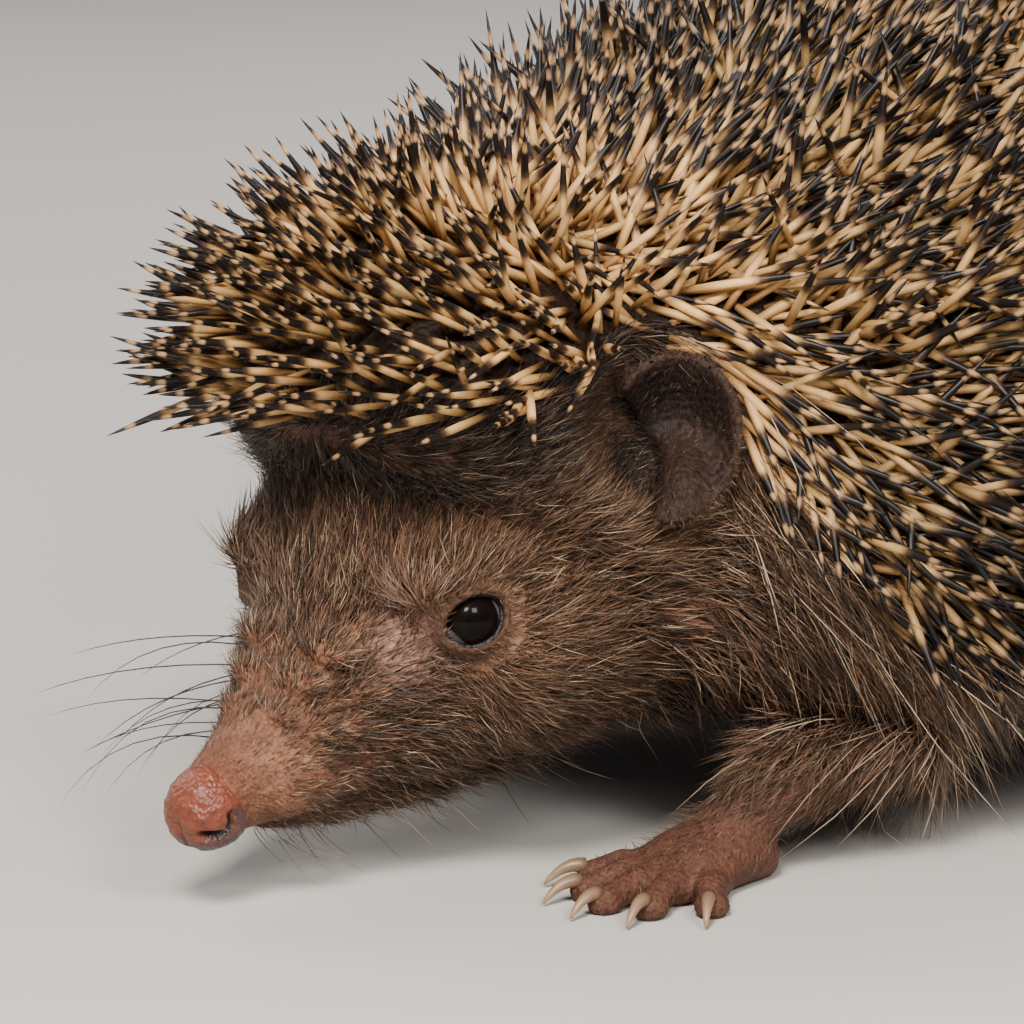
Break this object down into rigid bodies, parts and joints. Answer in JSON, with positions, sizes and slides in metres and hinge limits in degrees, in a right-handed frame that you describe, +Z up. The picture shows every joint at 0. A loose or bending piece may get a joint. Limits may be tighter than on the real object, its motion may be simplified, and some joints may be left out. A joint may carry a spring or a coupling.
{
  "type": "hedgehog",
  "caption": "Life-size still model of a forest hedgehog standing low, nose near the floor, with banded quills over brown fur.",
  "frame": {"origin": "middle of the footprint of the whole animal, on the floor under its soles", "axes": "+Z up, the nose points along -X, +Y is the animal's right side"},
  "size_m": [0.2109, 0.1164, 0.094],
  "materials": {
    "fur": "coarse short brown fur over tan skin",
    "quills": "satin horn, cream with a black-brown band",
    "nose_skin": "wet, pebbled, pink to mauve skin",
    "ear_skin": "thin dark skin with velvety down",
    "eye": "wet gloss black-brown",
    "paw_skin": "bare pinkish brown skin",
    "claw_horn": "satin translucent horn"
  },
  "bodies": {
    "root": {"snout": "fur", "head": "fur", "jaw": "fur", "neck": "fur", "tail": "fur", "foreleg_left": "fur", "foreleg_right": "fur", "hindleg_left": "fur", "hindleg_right": "fur", "crown": "quills", "shoulders": "quills", "barrel": "quills", "rump": "quills", "nose": "nose_skin", "eye_left": "eye", "eye_right": "eye", "ear_left": "ear_skin", "ear_right": "ear_skin", "forefoot_left": "paw_skin", "forefoot_left_claw_1": "claw_horn", "forefoot_left_claw_2": "claw_horn", "forefoot_left_claw_3": "claw_horn", "forefoot_left_claw_4": "claw_horn", "forefoot_left_claw_5": "claw_horn", "forefoot_right": "paw_skin", "forefoot_right_claw_1": "claw_horn", "forefoot_right_claw_2": "claw_horn", "forefoot_right_claw_3": "claw_horn", "forefoot_right_claw_4": "claw_horn", "forefoot_right_claw_5": "claw_horn", "hindfoot_left": "paw_skin", "hindfoot_left_claw_1": "claw_horn", "hindfoot_left_claw_2": "claw_horn", "hindfoot_left_claw_3": "claw_horn", "hindfoot_left_claw_4": "claw_horn", "hindfoot_left_claw_5": "claw_horn", "hindfoot_right": "paw_skin", "hindfoot_right_claw_1": "claw_horn", "hindfoot_right_claw_2": "claw_horn", "hindfoot_right_claw_3": "claw_horn", "hindfoot_right_claw_4": "claw_horn", "hindfoot_right_claw_5": "claw_horn"}
  },
  "joints": []
}
